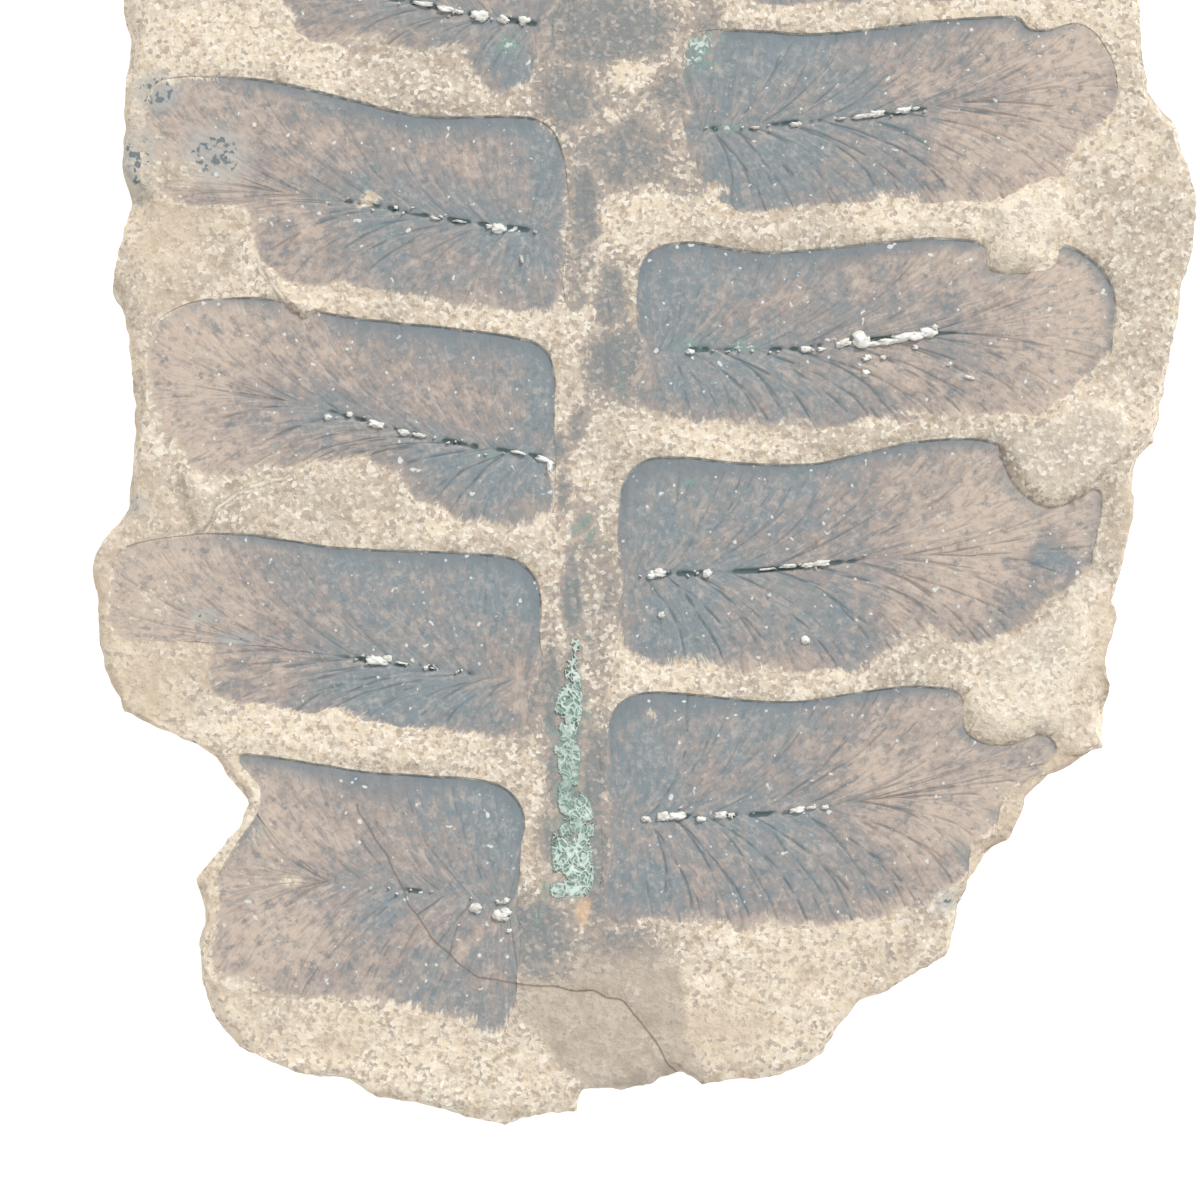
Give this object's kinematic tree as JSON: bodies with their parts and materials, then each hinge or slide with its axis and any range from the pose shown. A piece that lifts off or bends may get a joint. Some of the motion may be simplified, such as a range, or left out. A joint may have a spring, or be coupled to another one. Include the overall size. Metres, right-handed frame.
{
  "type": "fossil fern plate",
  "caption": "Thin slab of tan siltstone that carries a pressed seed-fern leaf: a central stalk with tongue-shaped, finely veined leaflets on both sides.",
  "frame": {"origin": "under the middle of the slab's overall box, on its flat back", "axes": "+Z out of the fossil face, +Y up the leaf's stalk, +X to the right across the leaf"},
  "size_m": [0.0556, 0.067, 0.009],
  "materials": {
    "siltstone": "fine-grained, matte, as split along the bedding and broken at the edges",
    "stalk_film": "coaly film, weathered grey-blue, matte with a faint sheen",
    "coaly_film": "thin coaly film, weathered grey-blue to tan, matte with a faint sheen, finely veined",
    "green_mineral": "pale green net-like mineral crust, matte",
    "kaolinite": "white clay-mineral grains, matte"
  },
  "bodies": {
    "root": {"matrix_slab": "siltstone", "rachis_film": "stalk_film", "pinnule_left_0": "coaly_film", "pinnule_left_1": "coaly_film", "pinnule_left_2": "coaly_film", "pinnule_left_3": "coaly_film", "pinnule_left_4": "coaly_film", "pinnule_right_0": "coaly_film", "pinnule_right_1": "coaly_film", "pinnule_right_2": "coaly_film", "pinnule_right_3": "coaly_film", "pinnule_right_4": "coaly_film", "green_mineral_crust": "green_mineral"}
  },
  "joints": []
}
